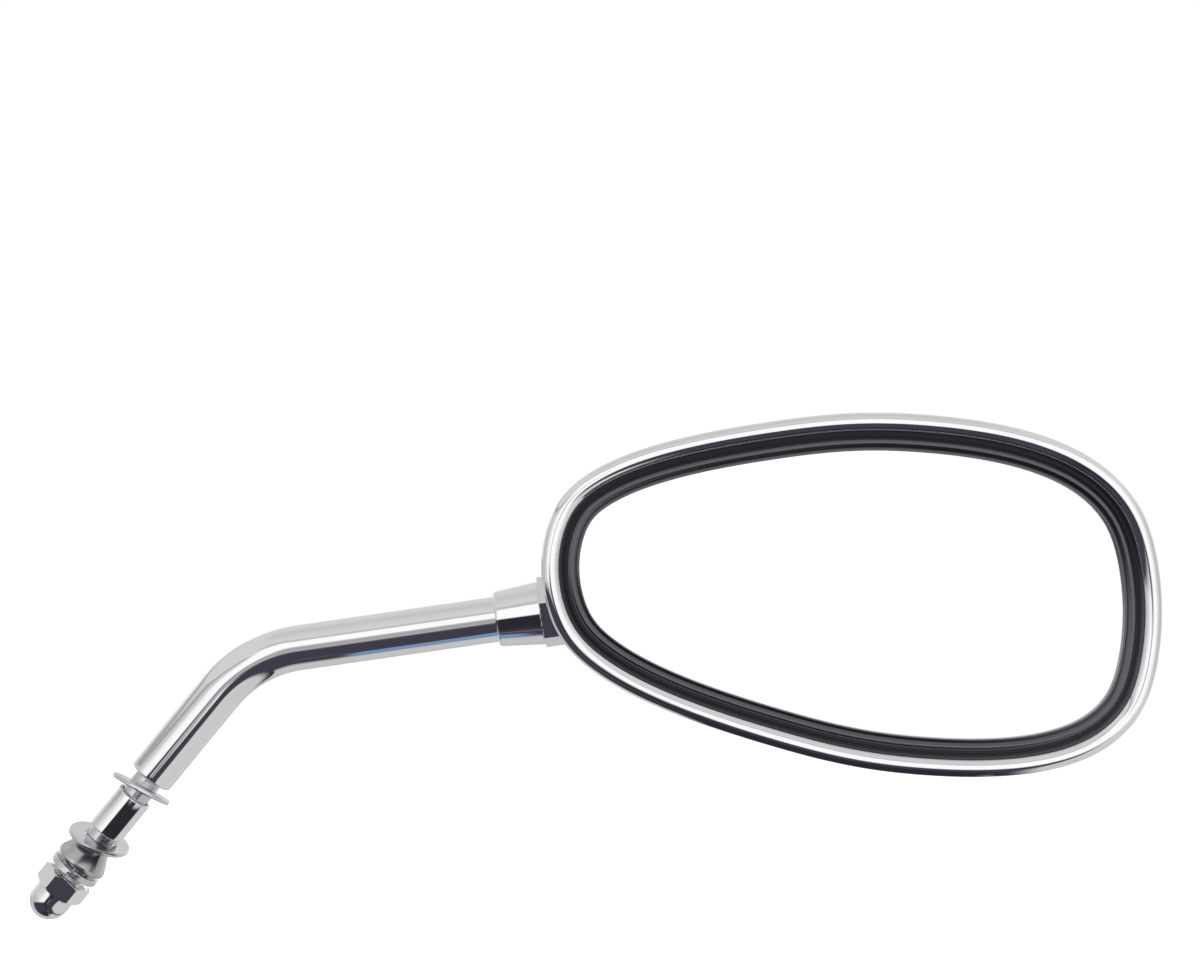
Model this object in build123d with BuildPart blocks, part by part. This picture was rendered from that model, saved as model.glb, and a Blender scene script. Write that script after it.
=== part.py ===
from build123d import *
import os
from math import cos, pi, radians, sin, tan

# A right-hand motorcycle mirror, in millimetres: a bent stem with its fixing hardware, a knuckle, and a
# head on a ball joint. The stem lies in the XZ plane. The origin is the middle of the stem's lower end
# face, +X points outboard along the head, +Z up, and the glass looks at the rider along -Y.

# Stem: a bent rod, given by its two runs and the bend between them
stem_dia = 12.7
lower_angle = 50.7
upper_angle = 8.2
lower_run = 43.9
upper_run = 69.0
bend_radius = 35.0
stem_chamfer = 0.8
spigot_dia = 10.0
spigot_engagement = 13.0

# Collar and lock nut at the stem's upper end
collar_length = 12.6
collar_small_dia = 15.3
collar_large_dia = 17.8
collar_seat = 9.0
collar_chamfer = 0.9
lock_nut_flats = 17.6
lock_nut_height = 6.7
lock_nut_turn = 11.7

# Stud and the hardware on it: the upper washer and the sleeve are placed from the stem's end face, and the
# other pieces back from the nut
stud_dia = 7.94
stud_in_stem = 12.0
stud_reach = 44.0
stud_chamfer = 0.8
washer_dia = 17.46
washer_bore = 9.2
washer_thickness = 1.3
washer_edge_round = 0.4
upper_washer_at = 4.2
upper_washer_lean = 10.4
upper_washer_nod = -9.4
lower_washer_back = 12.9
lower_washer_lean = 13.3
lower_washer_nod = 9.0
sleeve_at = 6.7
sleeve_gap = 2.8
sleeve_dia = 10.1
sleeve_chamfer = 0.6
loose_bore = 8.4
cone_back = 10.8
cone_length = 6.3
cone_small_dia = 9.4
cone_large_dia = 14.4
cone_band = 1.3
cone_chamfer = 0.5
lock_washer_back = 3.4
lock_washer_thickness = 1.9
lock_washer_dia = 14.2
lock_washer_gap = 1.0
lock_washer_slant = 25.0
nut_engagement = 8.6
nut_flats = 12.7
nut_turn = -9.3
nut_hex_height = 5.5
nut_dome_dia = 11.2
nut_length = 14.1

# Hex nuts: their sides, and the angle at which their corners are turned off
hex_sides = 6
hex_turned_angle = 30.0

# Knuckle: an arm in line with the stem's upper run, and a bell-shaped boss that leans along it
arm_dia = 17.0
boss_distance = 31.7
boss_lean = 12.0
knuckle_turn = 6.0
boss_top_dia = 16.5
boss_base_dia = 24.8
boss_base_band = 1.2
boss_flare_slack = 1.6
boss_edge_round = 0.6

# Ball joint: spheres about one centre, clamped by a stud, a spring and a nut
ball_offset = 18.5
ball_dia = 30.0
ball_wall = 2.0
ball_skirt_angle = 98.0
cup_wall = 1.75
cup_skirt_angle = 82.0
passage_angle = 31.0
pivot_dia = 6.0
pivot_engagement = 9.0
pivot_tail = 1.0
pivot_nut_flats = 10.0
pivot_nut_height = 4.2
pivot_washer_dia = 14.0
pivot_washer_thickness = 1.2
spring_length = 12.0
spring_wire_dia = 1.6
spring_mean_dia = 10.0
spring_turns = 3.5
thrust_face = 5.5

# Head: an egg-shaped outline with its wide end outboard, a domed shell, a lip, a gasket and the glass.
# Inboard, rise and ahead are distances from the ball's centre
head_half_length = 80.1
head_half_height = 45.9
head_inboard = 33.45
head_rise = 1.42
end_roundness = 1.66
side_roundness = 2.743
outboard_growth = 0.203
end_growth = 0.147
droop = 0.0726
rim_ahead = 24.0
lip_depth = 4.6
lip_width = 4.7
lip_thickness = 2.6
lip_outer_round = 2.4
lip_inner_round = 2.2
shell_wall = 1.6
dome_depth = 26.0
dome_power = 1.4
crown_outboard = 20.0
crown_rise = 3.0
glass_ahead = 21.4
glass_thickness = 2.5
glass_hold = 2.2
gasket_width = 5.1
gasket_ahead = 23.1
gasket_back_lip = 1.4
gasket_hook = 1.8
gasket_hook_depth = 2.0
gasket_groove_width = 1.4
gasket_groove_depth = 1.5
gasket_ridge_width = 2.6
gasket_ridge_round = 0.4
gasket_flank_width = 1.0
gasket_flank_drop = 0.9
gasket_crease_width = 0.4
gasket_crease_depth = 0.8
gasket_edge_drop = 0.35

# Clearances
thread_clearance = 0.05
running_clearance = 0.05
face_clearance = 0.05
fit_clearance = 0.05
hole_spare = 1.0

# Fineness of the head's outline and of the dome's loft
outline_points = 28
outline_step = 1.0
dome_sections = 8

# Places and directions that several pieces share
lower_way = Vector(cos(radians(lower_angle)), 0, sin(radians(lower_angle)))
upper_way = Vector(cos(radians(upper_angle)), 0, sin(radians(upper_angle)))
upper_side = Vector(-sin(radians(upper_angle)), 0, cos(radians(upper_angle)))
corner = lower_way * lower_run
collar_start = corner + upper_way * upper_run
rod_end = collar_start + upper_way * collar_seat
nut_start = collar_start + upper_way * collar_length
arm_start = nut_start + upper_way * (lock_nut_height + face_clearance)
nut_at = stud_reach - nut_engagement
lock_washer_at = nut_at - lock_washer_back
cone_at = nut_at - cone_back
lower_washer_at = nut_at - lower_washer_back
sleeve_length = lower_washer_at - sleeve_gap - sleeve_at
boss_point = nut_start + upper_way * boss_distance
spigot_end = arm_start + upper_way * spigot_engagement

square_way = Vector(0, -cos(radians(knuckle_turn)), 0) + upper_side * sin(radians(knuckle_turn))
boss_way = upper_way * sin(radians(boss_lean)) + square_way * cos(radians(boss_lean))
ball_centre = boss_point + boss_way * ball_offset
ball_up = boss_way * -1
tilt_way = (upper_way - ball_up * upper_way.dot(ball_up)).normalized()

stud_plane = Plane(origin=(0, 0, 0), x_dir=(0, 1, 0), z_dir=lower_way * -1)
stud_section = Plane(origin=(0, 0, 0), x_dir=lower_way * -1, z_dir=(0, 1, 0))
stud_axis = Axis((0, 0, 0), lower_way * -1)
upper_section = Plane(origin=collar_start, x_dir=upper_way, z_dir=(0, 1, 0))
upper_axis = Axis(collar_start, upper_way)
ball_section = Plane(origin=ball_centre, x_dir=tilt_way, z_dir=tilt_way.cross(ball_up))
ball_axis = Axis(ball_centre, ball_up)
ball_plane = Plane(origin=ball_centre, x_dir=tilt_way, z_dir=ball_up)

ball_radius = ball_dia / 2
ball_inner_radius = ball_radius - ball_wall
cup_radius = ball_inner_radius - running_clearance
cup_inner_radius = cup_radius - cup_wall
thrust_radius = cup_inner_radius - running_clearance
seat_radius = ball_radius + running_clearance
head_middle = Vector(ball_centre.X - head_inboard + head_half_length, ball_centre.Z + head_rise)
crown = Vector(ball_centre.X + crown_outboard, ball_centre.Z + crown_rise)
glass_inset = lip_width + gasket_width - glass_hold


def upper_plane(point):
    """Plane across the stem's upper run, facing outboard."""
    return Plane(origin=point, x_dir=(0, 1, 0), z_dir=upper_way)


def signed_power(value, power):
    return abs(value) ** power * (1 if value >= 0 else -1)


def egg_point(turn):
    """Outline point in X and Z from the head's middle: a superellipse, taller and lower outboard."""
    along = signed_power(cos(turn), 2 / end_roundness)
    up = signed_power(sin(turn), 2 / side_roundness)
    height = head_half_height * up * (1 + outboard_growth * along + end_growth * along**2)
    return Vector(head_half_length * along, height - droop * head_half_length * along)


def outline_point(turn, inset, scale):
    """Outline point moved inwards by an inset, then scaled about a middle that shifts towards the crown."""
    step = radians(outline_step)
    run = egg_point(turn + step) - egg_point(turn - step)
    inward = Vector(-run.Y, run.X).normalized()
    middle = crown + (head_middle - crown) * scale**2
    return middle + (egg_point(turn) + inward * inset) * scale


def head_face(ahead, inset=0.0, scale=1.0):
    """Face of the head's outline at a distance ahead of the ball's centre."""
    turns = [2 * pi * (i + 0.5) / outline_points for i in range(outline_points)]
    with BuildSketch(Plane.XZ.offset(ahead - ball_centre.Y)) as sketch:
        with BuildLine():
            Spline([outline_point(turn, inset, scale) for turn in turns], periodic=True)
        make_face()
    return sketch.sketch


def head_ring(ahead, outer_inset, inner_inset):
    """Ring between two insets of the head's outline."""
    return head_face(ahead, outer_inset) - head_face(ahead, inner_inset)


def dome_stack(ahead, depth, inset):
    """Sections of a dome that leaves the rim with a steep side, and the crown point that closes it."""
    slices = [pi / 2 * i / dome_sections for i in range(dome_sections)]
    faces = [head_face(ahead - depth * sin(a) ** dome_power, inset, cos(a)) for a in slices]
    return faces + [Vertex(crown.X, ball_centre.Y - ahead + depth, crown.Y)]


def polar(radius, angle):
    """Point of the ball's section at an angle from its axis."""
    return (radius * sin(radians(angle)), radius * cos(radians(angle)))


def loose_plane(distance, lean, nod):
    """Plane across the stud for a loose ring that leans in the stem's plane and nods at the rider."""
    angle = radians(lower_angle + lean)
    drop = cos(radians(nod))
    facing = Vector(-cos(angle) * drop, sin(radians(nod)), -sin(angle) * drop)
    return Plane(origin=lower_way * -distance, z_dir=facing)


# Stem
with BuildPart() as stem:
    with BuildLine(Plane.XZ) as stem_path:
        FilletPolyline(
            (0, 0),
            (corner.X, corner.Z),
            (rod_end.X, rod_end.Z),
            radius=bend_radius,
        )
    with BuildSketch(stud_plane):
        Circle(stem_dia / 2)
    sweep()
    chamfer(stem.edges().filter_by(GeomType.CIRCLE).sort_by(Axis.X)[0], stem_chamfer)
    with BuildSketch(upper_plane(rod_end)):
        Circle(spigot_dia / 2)
    extrude(amount=(spigot_end - rod_end).length)
    with BuildSketch(stud_plane):
        Circle(stud_dia / 2 + thread_clearance)
    extrude(amount=-stud_in_stem - thread_clearance, mode=Mode.SUBTRACT)

# Stud
with BuildPart() as mount_stud:
    with BuildSketch(stud_plane.offset(-stud_in_stem)):
        Circle(stud_dia / 2)
    extrude(amount=stud_in_stem + stud_reach)
    chamfer(mount_stud.edges().filter_by(GeomType.CIRCLE), stud_chamfer)


def flat_washer(plane):
    with BuildPart() as washer:
        with BuildSketch(plane.offset(-washer_thickness / 2)):
            Circle(washer_dia / 2)
            Circle(washer_bore / 2, mode=Mode.SUBTRACT)
        extrude(amount=washer_thickness)
        outer = washer.edges().filter_by(GeomType.CIRCLE).group_by(SortBy.RADIUS)[-1]
        fillet(outer, washer_edge_round)
    return washer


upper_washer = flat_washer(loose_plane(upper_washer_at, upper_washer_lean, upper_washer_nod))
lower_washer = flat_washer(loose_plane(lower_washer_at, lower_washer_lean, lower_washer_nod))

# Sleeve
with BuildPart() as spacer_sleeve:
    with BuildSketch(stud_plane.offset(sleeve_at)):
        Circle(sleeve_dia / 2)
        Circle(loose_bore / 2, mode=Mode.SUBTRACT)
    extrude(amount=sleeve_length)
    sleeve_rims = spacer_sleeve.edges().filter_by(GeomType.CIRCLE)
    chamfer(sleeve_rims.group_by(SortBy.RADIUS)[-1], sleeve_chamfer)

# Cone, with its small end towards the stem
with BuildPart() as cone_spacer:
    with BuildSketch(stud_section):
        with BuildLine():
            Polyline(
                (cone_at, loose_bore / 2),
                (cone_at, cone_small_dia / 2),
                (cone_at + cone_length - cone_band, cone_large_dia / 2),
                (cone_at + cone_length - cone_chamfer, cone_large_dia / 2),
                (cone_at + cone_length, cone_large_dia / 2 - cone_chamfer),
                (cone_at + cone_length, loose_bore / 2),
                close=True,
            )
        make_face()
    revolve(axis=stud_axis)

# Split lock washer
with BuildPart() as lock_washer:
    with BuildSketch(stud_plane.offset(lock_washer_at)):
        Circle(lock_washer_dia / 2)
        Circle(loose_bore / 2, mode=Mode.SUBTRACT)
    extrude(amount=lock_washer_thickness)
    split_plane = stud_plane.offset(lock_washer_at + lock_washer_thickness / 2)
    split_place = Location((-lock_washer_dia / 2, 0, 0), (lock_washer_slant, 0, 0))
    with Locations(split_plane.location * split_place):
        Box(lock_washer_dia, lock_washer_gap, 2 * lock_washer_thickness, mode=Mode.SUBTRACT)


def hex_blank(plane, height, flats, turn, turned_start):
    """Hex nut blank with a flat turned from the rider, its corners turned off at its end or both ends."""
    corner_radius = flats / 2 / cos(pi / hex_sides)
    turned = (corner_radius - flats / 2) * tan(radians(hex_turned_angle))
    start_points = [(0, flats / 2), (turned, corner_radius)] if turned_start else [(0, corner_radius)]
    end_points = [(height - turned, corner_radius), (height, flats / 2), (height, 0)]
    with BuildPart() as blank:
        with BuildSketch(plane):
            RegularPolygon(flats / 2, hex_sides, major_radius=False, rotation=180 / hex_sides + turn)
        extrude(amount=height)
        with BuildSketch(Plane(origin=plane.origin, x_dir=plane.z_dir, z_dir=plane.x_dir)):
            with BuildLine():
                Polyline([(0, 0)] + start_points + end_points, close=True)
            make_face()
        revolve(axis=Axis(plane.origin, plane.z_dir), mode=Mode.INTERSECT)
    return blank.part


# Acorn nut
nut_plane = stud_plane.offset(nut_at)
nut_dome_start = nut_at + nut_hex_height - fit_clearance
nut_dome_radius = nut_dome_dia / 2
nut_dome_spring = nut_at + nut_length - nut_dome_radius
with BuildPart() as acorn_nut:
    add(hex_blank(nut_plane, nut_hex_height, nut_flats, nut_turn, turned_start=True))
    with BuildSketch(stud_section):
        with BuildLine():
            Polyline((nut_at + nut_length, 0), (nut_dome_start, 0), (nut_dome_start, nut_dome_radius))
            Line((nut_dome_start, nut_dome_radius), (nut_dome_spring, nut_dome_radius))
            RadiusArc((nut_dome_spring, nut_dome_radius), (nut_at + nut_length, 0), nut_dome_radius)
        make_face()
    revolve(axis=stud_axis)
    with BuildSketch(nut_plane):
        Circle(stud_dia / 2 + thread_clearance)
    extrude(amount=stud_reach - nut_at + hole_spare, mode=Mode.SUBTRACT)

# Collar: a tapered ferrule over the end of the rod, with a web that the thinner spigot passes through
with BuildPart() as collar:
    with BuildSketch(upper_section):
        with BuildLine():
            Polyline(
                (0, stem_dia / 2 + fit_clearance),
                (0, collar_small_dia / 2 - collar_chamfer),
                (collar_chamfer, collar_small_dia / 2),
                (collar_length, collar_large_dia / 2),
                (collar_length, spigot_dia / 2 + thread_clearance),
                (collar_seat + fit_clearance, spigot_dia / 2 + thread_clearance),
                (collar_seat + fit_clearance, stem_dia / 2 + fit_clearance),
                close=True,
            )
        make_face()
    revolve(axis=upper_axis)

# Lock nut between the collar and the knuckle
with BuildPart() as lock_nut:
    nut_face = upper_plane(nut_start)
    add(hex_blank(nut_face, lock_nut_height, lock_nut_flats, lock_nut_turn, turned_start=False))
    with BuildSketch(nut_face):
        Circle(spigot_dia / 2 + thread_clearance)
    extrude(amount=lock_nut_height, mode=Mode.SUBTRACT)

# Knuckle
boss_top = ball_offset + arm_dia / 2
boss_base = (seat_radius**2 - (boss_base_dia / 2) ** 2) ** 0.5
with BuildPart() as knuckle:
    with BuildSketch(upper_plane(arm_start)):
        Circle(arm_dia / 2)
    extrude(amount=(boss_point - arm_start).length)
    with BuildSketch(ball_section) as boss_profile:
        top_corner = (boss_top_dia / 2, boss_top)
        band_corner = (boss_base_dia / 2, boss_base + boss_base_band)
        with BuildLine():
            Polyline((0, boss_top), (0, boss_base), (boss_base_dia / 2, boss_base), band_corner)
            SagittaArc(band_corner, top_corner, boss_flare_slack)
            Line(top_corner, (0, boss_top))
        make_face()
        fillet(boss_profile.vertices().group_by(Axis.Y)[-1].sort_by(Axis.X)[-1], boss_edge_round)
    revolve(axis=ball_axis)
    with Locations(ball_centre):
        Sphere(seat_radius, mode=Mode.SUBTRACT)
    with BuildSketch(upper_plane(arm_start)):
        Circle(spigot_dia / 2 + thread_clearance)
    extrude(amount=spigot_engagement + fit_clearance, mode=Mode.SUBTRACT)
    with BuildSketch(ball_plane):
        Circle(pivot_dia / 2 + thread_clearance)
    extrude(amount=seat_radius + pivot_engagement + hole_spare, mode=Mode.SUBTRACT)

# Nylon cup inside the ball
with BuildPart() as friction_cup:
    with BuildSketch(ball_section):
        with BuildLine():
            Line(polar(cup_inner_radius, passage_angle), polar(cup_radius, passage_angle))
            RadiusArc(polar(cup_radius, passage_angle), polar(cup_radius, cup_skirt_angle), cup_radius)
            Line(polar(cup_radius, cup_skirt_angle), polar(cup_inner_radius, cup_skirt_angle))
            RadiusArc(
                polar(cup_inner_radius, cup_skirt_angle),
                polar(cup_inner_radius, passage_angle),
                -cup_inner_radius,
            )
        make_face()
    revolve(axis=ball_axis)

# Thrust washer: a ring with a spherical face that bears in the cup
thrust_bore = pivot_dia / 2 + running_clearance
thrust_outer = (thrust_radius**2 - thrust_face**2) ** 0.5
thrust_inner = (thrust_radius**2 - thrust_bore**2) ** 0.5
with BuildPart() as thrust_washer:
    with BuildSketch(ball_section):
        with BuildLine():
            Polyline((thrust_bore, thrust_inner), (thrust_bore, thrust_face), (thrust_outer, thrust_face))
            RadiusArc((thrust_outer, thrust_face), (thrust_bore, thrust_inner), -thrust_radius)
        make_face()
    revolve(axis=ball_axis)

# Spring, with its wire between the thrust washer and the pivot's washer
spring_low = thrust_face - spring_length
with BuildPart() as spring:
    spring_rise = spring_length - spring_wire_dia
    with BuildLine():
        coil = Helix(
            spring_rise / spring_turns,
            spring_rise,
            spring_mean_dia / 2,
            center=ball_centre + ball_up * (spring_low + spring_wire_dia / 2),
            direction=ball_up,
        )
    with BuildSketch(Plane(origin=coil @ 0, z_dir=coil % 0)):
        Circle(spring_wire_dia / 2 - fit_clearance)
    sweep(path=coil, is_frenet=True)

# Pivot stud, screwed into the knuckle, with its washer and nut
pivot_washer_low = spring_low - pivot_washer_thickness
pivot_nut_low = pivot_washer_low - pivot_nut_height
pivot_low = pivot_nut_low - pivot_tail
with BuildPart() as pivot_stud:
    with BuildSketch(ball_plane.offset(pivot_low)):
        Circle(pivot_dia / 2)
    extrude(amount=seat_radius + pivot_engagement - pivot_low)

with BuildPart() as pivot_washer:
    with BuildSketch(ball_plane.offset(pivot_washer_low)):
        Circle(pivot_washer_dia / 2)
        Circle(thrust_bore, mode=Mode.SUBTRACT)
    extrude(amount=pivot_washer_thickness)

with BuildPart() as pivot_nut:
    with BuildSketch(ball_plane.offset(pivot_nut_low)):
        RegularPolygon(pivot_nut_flats / 2, hex_sides, major_radius=False)
        Circle(pivot_dia / 2 + thread_clearance, mode=Mode.SUBTRACT)
    extrude(amount=pivot_nut_height)

# Housing: a domed shell with a turned-in lip, and the ball that stands out of its back
dome_ahead = rim_ahead - lip_depth
cavity_ahead = rim_ahead - lip_thickness
with BuildPart() as housing:
    loft(dome_stack(dome_ahead, dome_depth, 0))
    extrude(head_face(dome_ahead), amount=lip_depth)
    extrude(head_face(cavity_ahead, lip_width), amount=lip_thickness, mode=Mode.SUBTRACT)
    fillet(housing.faces().sort_by(Axis.Y)[0].edges().sort_by(SortBy.LENGTH)[-1], lip_outer_round)
    fillet(housing.faces().sort_by(Axis.Y)[0].edges().sort_by(SortBy.LENGTH)[0], lip_inner_round)
    extrude(head_face(dome_ahead, shell_wall), amount=cavity_ahead - dome_ahead, mode=Mode.SUBTRACT)
    loft(dome_stack(dome_ahead, dome_depth - shell_wall, shell_wall), mode=Mode.SUBTRACT)
    with Locations(ball_centre):
        Sphere(ball_radius - ball_wall / 2, mode=Mode.SUBTRACT)
    with BuildSketch(ball_section):
        with BuildLine():
            Line(polar(ball_inner_radius, passage_angle), polar(ball_radius, passage_angle))
            RadiusArc(polar(ball_radius, passage_angle), polar(ball_radius, ball_skirt_angle), ball_radius)
            Line(polar(ball_radius, ball_skirt_angle), polar(ball_inner_radius, ball_skirt_angle))
            RadiusArc(
                polar(ball_inner_radius, ball_skirt_angle),
                polar(ball_inner_radius, passage_angle),
                -ball_inner_radius,
            )
        make_face()
    revolve(axis=ball_axis)

# Glass, and the rubber gasket that holds the glass in the lip
glass_back = glass_ahead - glass_thickness
with BuildPart() as glass:
    extrude(head_face(glass_back, glass_inset), amount=glass_thickness)

gasket_outer = lip_width + fit_clearance
gasket_inner = lip_width + gasket_width
with BuildPart() as rim_gasket:
    ridge_outer = gasket_outer + gasket_groove_width
    ridge_inner = ridge_outer + gasket_ridge_width
    edge_outer = ridge_inner + gasket_crease_width
    ridge_height = gasket_ahead - glass_ahead
    extrude(head_ring(glass_ahead, ridge_outer, ridge_inner), amount=ridge_height)
    ridge_edges = rim_gasket.faces().sort_by(Axis.Y)[0].edges().sort_by(SortBy.LENGTH)
    chamfer(ridge_edges[-1], gasket_flank_drop, gasket_flank_width)
    fillet(rim_gasket.faces().sort_by(Axis.Y)[0].edges(), gasket_ridge_round)
    extrude(head_ring(glass_ahead, gasket_outer, ridge_outer), amount=ridge_height - gasket_groove_depth)
    extrude(head_ring(glass_ahead, ridge_inner, edge_outer), amount=ridge_height - gasket_crease_depth)
    extrude(head_ring(glass_ahead, edge_outer, gasket_inner), amount=ridge_height - gasket_edge_drop)
    gasket_back = glass_back - gasket_back_lip
    extrude(head_ring(gasket_back, gasket_outer, glass_inset), amount=glass_ahead - gasket_back)
    extrude(head_ring(gasket_back, gasket_outer, gasket_inner), amount=gasket_back_lip)
    hook_back = cavity_ahead - gasket_hook_depth
    extrude(head_ring(hook_back, gasket_outer - gasket_hook, gasket_outer), amount=gasket_hook_depth)

parts = {
    "stem": stem,
    "mount_stud": mount_stud,
    "upper_washer": upper_washer,
    "spacer_sleeve": spacer_sleeve,
    "lower_washer": lower_washer,
    "cone_spacer": cone_spacer,
    "lock_washer": lock_washer,
    "acorn_nut": acorn_nut,
    "collar": collar,
    "lock_nut": lock_nut,
    "knuckle": knuckle,
    "pivot_stud": pivot_stud,
    "pivot_washer": pivot_washer,
    "pivot_nut": pivot_nut,
    "spring": spring,
    "thrust_washer": thrust_washer,
    "friction_cup": friction_cup,
    "housing": housing,
    "rim_gasket": rim_gasket,
    "glass": glass,
}
os.makedirs("parts", exist_ok=True)
for name, piece in parts.items():
    piece.part.label = name
    export_step(piece.part, "parts/" + name + ".step")
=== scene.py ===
from math import asin, atan2, ceil, cos, pi, radians, sin, tan

import bmesh
import bpy
import numpy as np
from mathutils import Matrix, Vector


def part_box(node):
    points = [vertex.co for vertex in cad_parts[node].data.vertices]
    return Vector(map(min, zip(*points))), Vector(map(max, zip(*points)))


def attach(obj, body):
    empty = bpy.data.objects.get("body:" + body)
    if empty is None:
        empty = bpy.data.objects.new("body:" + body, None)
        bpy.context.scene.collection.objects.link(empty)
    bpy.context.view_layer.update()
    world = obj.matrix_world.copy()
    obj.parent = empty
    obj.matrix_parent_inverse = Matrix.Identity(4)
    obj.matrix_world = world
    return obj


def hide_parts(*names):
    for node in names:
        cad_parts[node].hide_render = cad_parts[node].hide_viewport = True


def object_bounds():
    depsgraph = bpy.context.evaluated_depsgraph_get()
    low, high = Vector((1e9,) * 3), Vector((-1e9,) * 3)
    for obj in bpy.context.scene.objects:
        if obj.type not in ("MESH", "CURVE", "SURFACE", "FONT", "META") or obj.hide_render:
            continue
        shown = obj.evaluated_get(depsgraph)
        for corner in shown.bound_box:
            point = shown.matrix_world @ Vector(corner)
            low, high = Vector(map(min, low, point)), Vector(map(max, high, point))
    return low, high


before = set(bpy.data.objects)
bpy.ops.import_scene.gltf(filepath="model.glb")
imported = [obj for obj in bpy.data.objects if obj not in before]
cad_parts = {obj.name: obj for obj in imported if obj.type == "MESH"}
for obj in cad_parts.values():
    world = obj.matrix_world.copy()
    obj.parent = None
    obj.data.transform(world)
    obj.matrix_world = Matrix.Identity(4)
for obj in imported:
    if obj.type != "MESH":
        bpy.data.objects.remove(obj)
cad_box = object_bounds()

# A right-hand chrome motorcycle mirror. Sizes are in millimetres, in the frame of the CAD part, and each
# piece is scaled to metres when its mesh is made. The stem lies in the XZ plane, +Y points away from the
# camera, and the origin is the middle of the stem's lower end face.
MM = 0.001

# Stem, collar and lock nut
STEM_DIA = 12.7
LOWER_ANGLE = radians(50.7)
UPPER_ANGLE = radians(8.2)
LOWER_RUN = 43.9
UPPER_RUN = 69.0
BEND_RADIUS = 35.0
STEM_EDGE = 0.8
COLLAR_LENGTH = 12.6
COLLAR_SMALL_DIA = 15.3
COLLAR_LARGE_DIA = 17.8
COLLAR_SEAT = 9.0
COLLAR_EDGE = 0.9
COLLAR_END_EDGE = 0.25
LOCK_NUT_FLATS = 17.6
LOCK_NUT_HEIGHT = 6.7
LOCK_NUT_TURN = radians(11.7)
SPIGOT_DIA = 10.0
SPIGOT_ENGAGEMENT = 13.0

# Stud and the hardware on it: the upper washer and the sleeve are placed from the stem's end face, and the
# other pieces back from the nut
STUD_DIA = 7.94
STUD_IN_STEM = 12.0
STUD_REACH = 44.0
STUD_EDGE = 0.8
WASHER_DIA = 17.46
WASHER_BORE = 9.2
WASHER_THICKNESS = 1.3
WASHER_EDGE = 0.4
UPPER_WASHER_AT = 4.2
UPPER_WASHER_LEAN = radians(10.4)
UPPER_WASHER_NOD = radians(-9.4)
LOWER_WASHER_BACK = 12.9
LOWER_WASHER_LEAN = radians(13.3)
LOWER_WASHER_NOD = radians(9.0)
SLEEVE_AT = 6.7
SLEEVE_GAP = 2.8
SLEEVE_DIA = 10.1
SLEEVE_EDGE = 0.5
LOOSE_BORE = 8.4
CONE_BACK = 10.8
CONE_LENGTH = 6.3
CONE_SMALL_DIA = 9.4
CONE_LARGE_DIA = 14.4
CONE_BAND = 1.3
CONE_START_EDGE = 0.2
CONE_BAND_EDGE = 0.3
CONE_END_EDGE = 0.5
LOCK_WASHER_BACK = 3.4
LOCK_WASHER_THICKNESS = 1.9
LOCK_WASHER_RISE = 0.5
LOCK_WASHER_DIA = 14.2
LOCK_WASHER_GAP = 1.0
LOCK_WASHER_SLANT = radians(25.0)
LOCK_WASHER_INNER_EDGE = 0.2
LOCK_WASHER_OUTER_EDGE = 0.3
NUT_ENGAGEMENT = 8.6
NUT_FLATS = 12.7
NUT_TURN = radians(-9.3)
NUT_HEX_HEIGHT = 5.5
NUT_DOME_DIA = 11.2
NUT_LENGTH = 14.1
NUT_SHOULDER = 0.35
NUT_FILLET_RISE = 0.08
NUT_FILLET_OUT = 0.1
# Thread: it starts after a plain row, its wave is steepened and lowered to give flat crests and roots, and
# over its last pitches the stud's end edge is cut
THREAD_PITCH = 1.41
THREAD_DEPTH = 0.55
THREAD_START = 22.4
THREAD_LEAD = 2.0
THREAD_STEEPNESS = 1.6
THREAD_LOWERING = 0.3
THREAD_END_PITCHES = 1.5

# Hex nuts: the rounds on their corners, the cones at their ends and their small edges
HEX_CORNER_ROUND = 0.3
HEX_CONE_SLOPE = tan(radians(30))
HEX_FACE_INSET = 0.15
HEX_CONE_RISE = 0.02
HEX_CONE_INSET = 0.06
HEX_CONE_END = 0.1
HEX_PLAIN_EDGE = 0.12
HEX_BORE_EDGE = 0.3

# Knuckle and ball
ARM_DIA = 17.0
ARM_EDGE = 0.5
BOSS_DISTANCE = 31.7
BOSS_LEAN = radians(12.0)
KNUCKLE_TURN = radians(6.0)
BOSS_TOP_DIA = 16.5
BOSS_TOP_EDGE = 0.6
BOSS_BASE_DIA = 24.8
BOSS_BASE_BAND = 1.2
BOSS_BASE_EDGE = 0.25
BOSS_FLARE_SLACK = 1.6
BALL_OFFSET = 18.5
BALL_DIA = 30.0
BALL_WALL = 2.0
PASSAGE_ANGLE = radians(31.0)
FOOT_ROUND = 1.1

# Head: inboard, rise and ahead are distances from the ball's centre
HEAD_HALF_LENGTH = 80.1
HEAD_HALF_HEIGHT = 45.9
HEAD_INBOARD = 33.45
HEAD_RISE = 1.42
END_ROUNDNESS = 1.66
SIDE_ROUNDNESS = 2.743
OUTBOARD_GROWTH = 0.203
END_GROWTH = 0.147
DROOP = 0.0726
RIM_AHEAD = 24.0
LIP_DEPTH = 4.6
LIP_WIDTH = 4.7
LIP_THICKNESS = 2.6
LIP_OUTER_ROUND = 2.4
LIP_ROLL = 2.7
LIP_CORNER = 0.2
SHELL_WALL = 1.6
DOME_DEPTH = 26.0
DOME_POWER = 1.4
CROWN_OUTBOARD = 20.0
CROWN_RISE = 3.0
GLASS_AHEAD = 21.4
GLASS_THICKNESS = 2.5
GLASS_HOLD = 2.3
GLASS_EDGE = 0.3
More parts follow.
